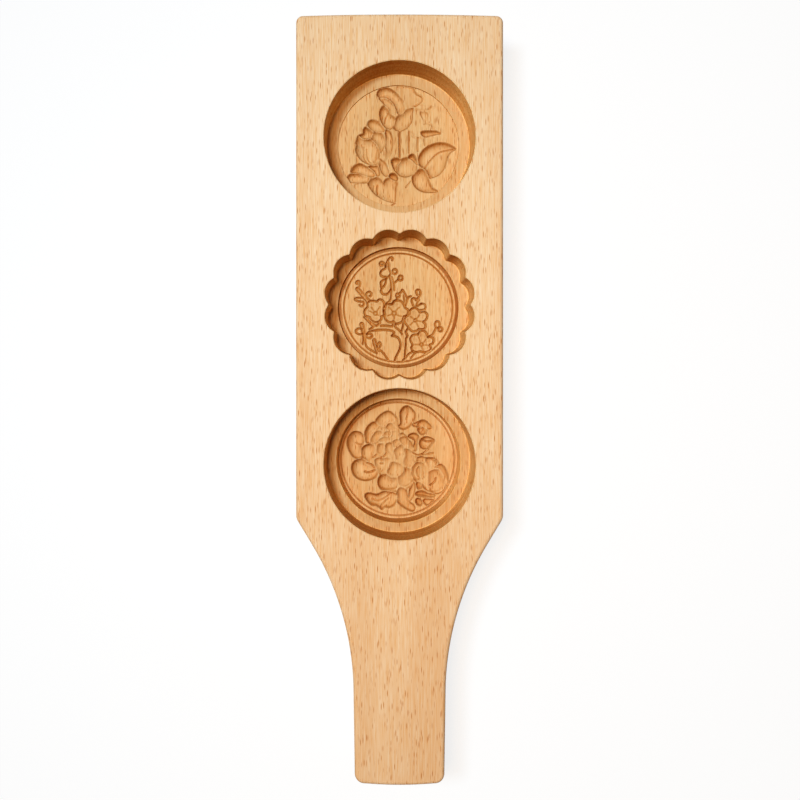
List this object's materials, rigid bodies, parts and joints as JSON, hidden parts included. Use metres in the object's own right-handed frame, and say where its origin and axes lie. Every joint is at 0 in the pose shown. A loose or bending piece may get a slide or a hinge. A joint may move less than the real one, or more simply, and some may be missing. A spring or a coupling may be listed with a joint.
{
  "type": "wooden maamoul mould",
  "caption": "Paddle-shaped wooden pastry mould with plain, scalloped and stepped round hollows in a row, each with a carved flower medallion in its floor, and a tapered grip.",
  "frame": {"origin": "centre of the board's outline on its flat back", "axes": "+Z out of the carved face, +Y along the board towards the head's end, +X across the board"},
  "size_m": [0.082, 0.305, 0.028],
  "materials": {
    "beech_board": "sanded beech, matte",
    "beech_medallion": "carved beech, matte"
  },
  "bodies": {
    "root": {"mould_board": "beech_board", "tulip_medallion": "beech_medallion", "plum_blossom_medallion": "beech_medallion", "peony_medallion": "beech_medallion"}
  },
  "joints": []
}
